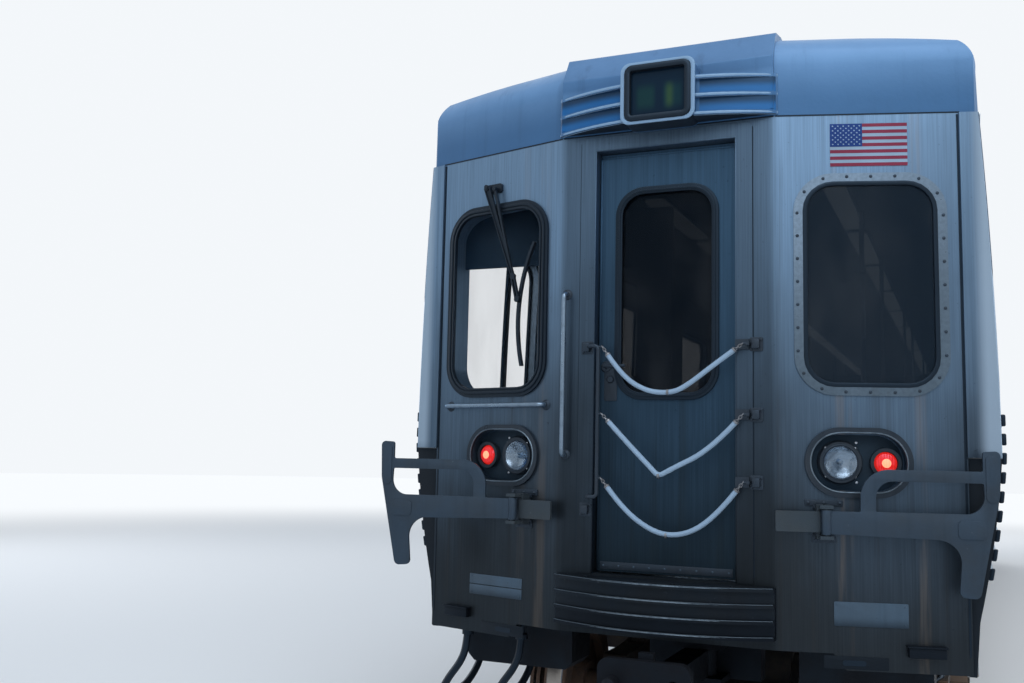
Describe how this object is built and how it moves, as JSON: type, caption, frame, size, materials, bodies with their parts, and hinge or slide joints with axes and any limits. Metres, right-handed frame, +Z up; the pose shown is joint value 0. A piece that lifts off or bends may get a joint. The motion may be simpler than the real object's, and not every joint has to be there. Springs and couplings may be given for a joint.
{
  "type": "metro car",
  "caption": "Stainless-steel metro car with a driving cab at one end, sliding side doors and two bogies with outboard disc brakes.",
  "frame": {"origin": "below the middle of the car, at the height of the wheel flanges' tips, one flange depth (28 mm) under the rail tops", "axes": "+Y along the car towards the plain end, with the driving cab at -Y; +X to the right for someone facing the cab end; +Z up"},
  "size_m": [2.7997, 17.03, 3.6878],
  "materials": {
    "underframe_steel": "dusty matt black",
    "stainless_body": "brushed stainless, lengthwise grain",
    "stainless_end": "brushed stainless, weathered",
    "stainless_door": "brushed stainless, weathered",
    "window_frame": "satin",
    "tinted_glass": "tinted safety glass",
    "roof_steel": "satin with blue and pale stripes",
    "fairing_paint": "grey paint, weathered",
    "black_rubber": "matt",
    "lamp_bezel_steel": "worn",
    "lamp_glass": "ribbed clear glass",
    "red_lens": "glowing red lens",
    "cap_grp": "pale blue-grey moulding",
    "sign_glass": "dark sign glass",
    "anticlimber_steel": "grey paint, scuffed",
    "stainless_rail": "polished",
    "dark_steel": "worn grey paint",
    "chain_sleeve": "pale plastic sleeves",
    "gate_paint": "blue-grey weathered paint",
    "black_steel": "satin black",
    "interior_panel": "satin",
    "console_plastic": "grained",
    "bench_shell": "moulded, satin",
    "bench_fabric": "blue woven",
    "equipment_paint": "dusty grey paint",
    "bogie_cast": "dusty",
    "motor_paint": "dusty black",
    "brake_iron": "rust-brown dust",
    "wheel_steel": "rusty with bright tread",
    "coupler_cast": "dusty, worn"
  },
  "bodies": {
    "carbody": {"anticlimbers": "anticlimber_steel", "benches": "bench_shell", "bolted_window_frame": "window_frame", "cab_console": "console_plastic", "cab_end_cap": "cap_grp", "cab_end_wall": "stainless_end", "cab_partition": "interior_panel", "cab_seat": "console_plastic", "chain_brackets": "dark_steel", "corner_covers": "stainless_end", "coupler_yokes": "underframe_steel", "destination_sign": "sign_glass", "door_chains": "chain_sleeve", "end_windows": "tinted_glass", "gate_brackets": "gate_paint", "grab_rails": "stainless_rail", "headlamps": "lamp_glass", "lamp_bezels": "lamp_bezel_steel", "rear_end_wall": "stainless_end", "roof": "roof_steel", "roof_fairing": "fairing_paint", "seat_cushions": "bench_fabric", "side_wall_left": "stainless_body", "side_wall_right": "stainless_body", "side_window_frames": "window_frame", "side_windows": "tinted_glass", "stanchions": "stainless_rail", "tail_lamps": "red_lens", "underfloor_equipment": "equipment_paint", "underframe": "underframe_steel", "windscreen_gasket": "black_rubber", "wiper": "black_steel"},
    "bogie_front": {"bogie_frame_front": "bogie_cast", "traction_motors_front": "motor_paint", "brake_gear_front": "brake_iron"},
    "bogie_rear": {"bogie_frame_rear": "bogie_cast", "traction_motors_rear": "motor_paint", "brake_gear_rear": "brake_iron"},
    "axle_1": {"wheelset_1": "wheel_steel"},
    "axle_2": {"wheelset_2": "wheel_steel"},
    "axle_3": {"wheelset_3": "wheel_steel"},
    "axle_4": {"wheelset_4": "wheel_steel"},
    "door_1_right_rear": {"door_1_right_rear_leaf": "stainless_door"},
    "door_1_right_front": {"door_1_right_front_leaf": "stainless_door"},
    "door_1_left_rear": {"door_1_left_rear_leaf": "stainless_door"},
    "door_1_left_front": {"door_1_left_front_leaf": "stainless_door"},
    "door_2_right_rear": {"door_2_right_rear_leaf": "stainless_door"},
    "door_2_right_front": {"door_2_right_front_leaf": "stainless_door"},
    "door_2_left_rear": {"door_2_left_rear_leaf": "stainless_door"},
    "door_2_left_front": {"door_2_left_front_leaf": "stainless_door"},
    "door_3_right_rear": {"door_3_right_rear_leaf": "stainless_door"},
    "door_3_right_front": {"door_3_right_front_leaf": "stainless_door"},
    "door_3_left_rear": {"door_3_left_rear_leaf": "stainless_door"},
    "door_3_left_front": {"door_3_left_front_leaf": "stainless_door"},
    "cab_door": {"cab_end_door": "stainless_door"},
    "rear_door": {"rear_end_door": "stainless_door"},
    "gate_right": {"gate_arm_right": "gate_paint"},
    "gate_left": {"gate_arm_left": "gate_paint"},
    "coupler_front": {"coupler_front": "coupler_cast"},
    "coupler_rear": {"coupler_rear": "coupler_cast"}
  },
  "joints": [
    {"name": "bogie_front_swivel", "type": "hinge", "parent": "carbody", "child": "bogie_front", "pos_m": [0, -5.95, 0.9], "axis": [0, 0, 1], "range_deg": [-8, 8]},
    {"name": "axle_1_spin", "type": "hinge", "parent": "bogie_front", "child": "axle_1", "pos_m": [0, -6.965, 0.3835], "axis": [1, 0, 0], "continuous": true},
    {"name": "axle_2_spin", "type": "hinge", "parent": "bogie_front", "child": "axle_2", "pos_m": [0, -4.935, 0.3835], "axis": [1, 0, 0], "continuous": true},
    {"name": "bogie_rear_swivel", "type": "hinge", "parent": "carbody", "child": "bogie_rear", "pos_m": [0, 5.95, 0.9], "axis": [0, 0, 1], "range_deg": [-8, 8]},
    {"name": "axle_3_spin", "type": "hinge", "parent": "bogie_rear", "child": "axle_3", "pos_m": [0, 4.935, 0.3835], "axis": [1, 0, 0], "continuous": true},
    {"name": "axle_4_spin", "type": "hinge", "parent": "bogie_rear", "child": "axle_4", "pos_m": [0, 6.965, 0.3835], "axis": [1, 0, 0], "continuous": true},
    {"name": "door_1_right_rear_slide", "type": "slide", "parent": "carbody", "child": "door_1_right_rear", "axis": [0, 1, 0], "range_m": [0, 0.615]},
    {"name": "door_1_right_front_slide", "type": "slide", "parent": "carbody", "child": "door_1_right_front", "axis": [0, -1, 0], "range_m": [0, 0.615]},
    {"name": "door_1_left_rear_slide", "type": "slide", "parent": "carbody", "child": "door_1_left_rear", "axis": [0, 1, 0], "range_m": [0, 0.615]},
    {"name": "door_1_left_front_slide", "type": "slide", "parent": "carbody", "child": "door_1_left_front", "axis": [0, -1, 0], "range_m": [0, 0.615]},
    {"name": "door_2_right_rear_slide", "type": "slide", "parent": "carbody", "child": "door_2_right_rear", "axis": [0, 1, 0], "range_m": [0, 0.615]},
    {"name": "door_2_right_front_slide", "type": "slide", "parent": "carbody", "child": "door_2_right_front", "axis": [0, -1, 0], "range_m": [0, 0.615]},
    {"name": "door_2_left_rear_slide", "type": "slide", "parent": "carbody", "child": "door_2_left_rear", "axis": [0, 1, 0], "range_m": [0, 0.615]},
    {"name": "door_2_left_front_slide", "type": "slide", "parent": "carbody", "child": "door_2_left_front", "axis": [0, -1, 0], "range_m": [0, 0.615]},
    {"name": "door_3_right_rear_slide", "type": "slide", "parent": "carbody", "child": "door_3_right_rear", "axis": [0, 1, 0], "range_m": [0, 0.615]},
    {"name": "door_3_right_front_slide", "type": "slide", "parent": "carbody", "child": "door_3_right_front", "axis": [0, -1, 0], "range_m": [0, 0.615]},
    {"name": "door_3_left_rear_slide", "type": "slide", "parent": "carbody", "child": "door_3_left_rear", "axis": [0, 1, 0], "range_m": [0, 0.615]},
    {"name": "door_3_left_front_slide", "type": "slide", "parent": "carbody", "child": "door_3_left_front", "axis": [0, -1, 0], "range_m": [0, 0.615]},
    {"name": "cab_door_hinge", "type": "hinge", "parent": "carbody", "child": "cab_door", "pos_m": [0.332, -8.053, 1.128], "axis": [0, 0, 1], "range_deg": [-92, 0]},
    {"name": "rear_door_hinge", "type": "hinge", "parent": "carbody", "child": "rear_door", "pos_m": [0.332, 8.013, 1.128], "axis": [0, 0, 1], "range_deg": [0, 92]},
    {"name": "gate_right_hinge", "type": "hinge", "parent": "carbody", "child": "gate_right", "pos_m": [0.7102, -8.19037, 1.404], "axis": [0, 0, 1], "range_deg": [-105, 0]},
    {"name": "gate_left_hinge", "type": "hinge", "parent": "carbody", "child": "gate_left", "pos_m": [-0.7102, -8.19037, 1.404], "axis": [0, 0, 1], "range_deg": [-20, 85]},
    {"name": "coupler_front_swing", "type": "hinge", "parent": "carbody", "child": "coupler_front", "pos_m": [0, -7.45, 0.66], "axis": [0, 0, 1], "range_deg": [-15, 15]},
    {"name": "coupler_rear_swing", "type": "hinge", "parent": "carbody", "child": "coupler_rear", "pos_m": [0, 7.45, 0.66], "axis": [0, 0, 1], "range_deg": [-15, 15]}
  ],
  "couplings": [
    {"joint": "door_1_right_front_slide", "follows": "door_1_right_rear_slide", "ratio": 1},
    {"joint": "door_1_left_front_slide", "follows": "door_1_left_rear_slide", "ratio": 1},
    {"joint": "door_2_right_front_slide", "follows": "door_2_right_rear_slide", "ratio": 1},
    {"joint": "door_2_left_front_slide", "follows": "door_2_left_rear_slide", "ratio": 1},
    {"joint": "door_3_right_front_slide", "follows": "door_3_right_rear_slide", "ratio": 1},
    {"joint": "door_3_left_front_slide", "follows": "door_3_left_rear_slide", "ratio": 1}
  ]
}
